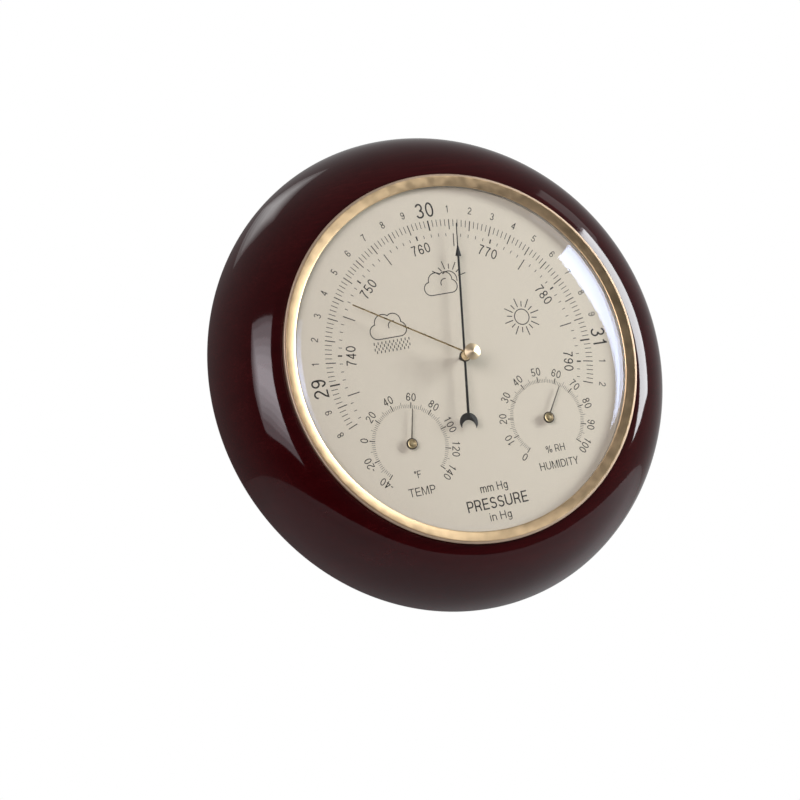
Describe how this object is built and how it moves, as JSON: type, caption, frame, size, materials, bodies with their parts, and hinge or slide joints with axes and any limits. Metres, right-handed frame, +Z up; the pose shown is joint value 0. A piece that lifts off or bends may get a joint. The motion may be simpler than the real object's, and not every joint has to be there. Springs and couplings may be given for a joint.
{
  "type": "wall weather station",
  "caption": "Round wall weather station: turned wood ring, brass bezel, domed glass, aneroid barometer with set hand, and a thermometer and hygrometer with spiral bimetal coils.",
  "frame": {"origin": "top of the keyhole slot in the hanger plate, where the nail bears, in the wall plane", "axes": "+Z up, +Y into the wall, the dial faces -Y, +X to the right as the dial is read"},
  "size_m": [0.2286, 0.0424, 0.2286],
  "materials": {
    "mahogany": "dark red-brown mahogany stain under a deep polished clear lacquer",
    "hanger_brass": "stamped sheet brass, slightly dulled",
    "screw_steel": "zinc-plated steel",
    "case_metal": "pressed brass-coated sheet, dull",
    "printed_dial": "matt cream dial with dark brown-grey printed scales",
    "gasket_rubber": "matt beige soft plastic",
    "clear_glass": "clear polished domed glass",
    "bezel_brass": "spun brass, satin band with a polished bead, lacquered",
    "movement_brass": "machined brass, fine turning marks",
    "capsule_nickel": "nickel-plated copper alloy diaphragm",
    "arbor_steel": "polished steel pivots",
    "spring_bronze": "cold-rolled bronze ribbon",
    "pointer_black": "black satin enamel on thin metal",
    "needle_grey": "dark grey-brown lacquered needle",
    "hub_brass": "turned and polished brass with concentric tool marks"
  },
  "bodies": {
    "case": {"wood_ring": "mahogany", "hanger_plate": "hanger_brass", "hanger_screw_1": "screw_steel", "hanger_screw_2": "screw_steel", "case_clip_1": "screw_steel", "case_clip_2": "screw_steel", "case_clip_3": "screw_steel", "clip_screw_1": "screw_steel", "clip_screw_2": "screw_steel", "clip_screw_3": "screw_steel", "case_pan": "case_metal", "dial_plate": "printed_dial", "lens_gasket": "gasket_rubber", "lens": "clear_glass", "bezel": "bezel_brass", "movement_base": "movement_brass", "base_screw_1": "screw_steel", "base_screw_2": "screw_steel", "base_screw_3": "screw_steel", "pillar_1": "movement_brass", "pillar_2": "movement_brass", "pillar_3": "movement_brass", "plate_screw_1": "screw_steel", "plate_screw_2": "screw_steel", "plate_screw_3": "screw_steel", "mechanism_plate": "movement_brass", "bridge_plate": "movement_brass", "bridge_pillar_1": "movement_brass", "bridge_pillar_2": "movement_brass", "bridge_screw_1": "screw_steel", "bridge_screw_2": "screw_steel", "aneroid_capsule": "capsule_nickel", "pointer_hairspring": "spring_bronze", "thermo_bracket": "screw_steel", "thermo_coil": "spring_bronze", "hygro_bracket": "screw_steel", "hygro_coil": "spring_bronze"},
    "pointer": {"pointer_arbor": "arbor_steel", "pressure_pointer": "pointer_black", "pointer_hub": "hub_brass"},
    "sector": {"sector_gear": "movement_brass"},
    "rocker_arm": {"rocker": "arbor_steel"},
    "capsule_top": {"capsule_post": "movement_brass"},
    "set_pointer": {"set_hand": "hub_brass", "set_shaft": "hub_brass", "knob_washer": "hub_brass", "set_knob": "hub_brass"},
    "thermometer_hand": {"thermo_arbor": "arbor_steel", "thermo_needle": "needle_grey", "thermo_hub": "hub_brass"},
    "hygrometer_hand": {"hygro_arbor": "arbor_steel", "hygro_needle": "needle_grey", "hygro_hub": "hub_brass"},
    "adjuster": {"adjusting_screw": "movement_brass"}
  },
  "joints": [
    {"name": "pointer_turn", "type": "hinge", "parent": "case", "child": "pointer", "pos_m": [0, -0.0314, -0.1062], "axis": [0, 1, 0], "range_deg": [-120.99, 99.01], "stiffness_Nm_per_rad": 0.001, "deforming": ["pointer_hairspring"]},
    {"name": "sector_turn", "type": "hinge", "parent": "case", "child": "sector", "pos_m": [0.01643, -0.021, -0.1097], "axis": [0, 1, 0], "range_deg": [-16.6, 20.3]},
    {"name": "rocker_tilt", "type": "hinge", "parent": "case", "child": "rocker_arm", "pos_m": [0, -0.0164, -0.1097], "axis": [1, 0, 0], "range_deg": [-7.5, 9.15]},
    {"name": "capsule_rise", "type": "slide", "parent": "case", "child": "capsule_top", "axis": [0, -1, 0], "range_m": [-0.00046, 0.00056], "deforming": ["aneroid_capsule"]},
    {"name": "set_hand_turn", "type": "hinge", "parent": "case", "child": "set_pointer", "pos_m": [0, -0.0404, -0.1062], "axis": [0, 1, 0], "continuous": true},
    {"name": "thermometer_turn", "type": "hinge", "parent": "case", "child": "thermometer_hand", "pos_m": [-0.035, -0.029, -0.1412], "axis": [0, 1, 0], "range_deg": [-150.8, 119.2], "stiffness_Nm_per_rad": 0.0005, "deforming": ["thermo_coil"]},
    {"name": "hygrometer_turn", "type": "hinge", "parent": "case", "child": "hygrometer_hand", "pos_m": [0.035, -0.029, -0.1412], "axis": [0, 1, 0], "range_deg": [-169.5, 100.5], "stiffness_Nm_per_rad": 0.0005, "deforming": ["hygro_coil"]},
    {"name": "adjusting_screw_turn", "type": "hinge", "parent": "case", "child": "adjuster", "pos_m": [0, -0.004, -0.1062], "axis": [0, 1, 0], "range_deg": [-180, 180]}
  ],
  "couplings": [
    {"joint": "sector_turn", "follows": "pointer_turn", "ratio": -0.16667},
    {"joint": "rocker_tilt", "follows": "pointer_turn", "ratio": -0.075},
    {"joint": "capsule_rise", "follows": "pointer_turn", "m_per_rad": -0.0002625}
  ]
}
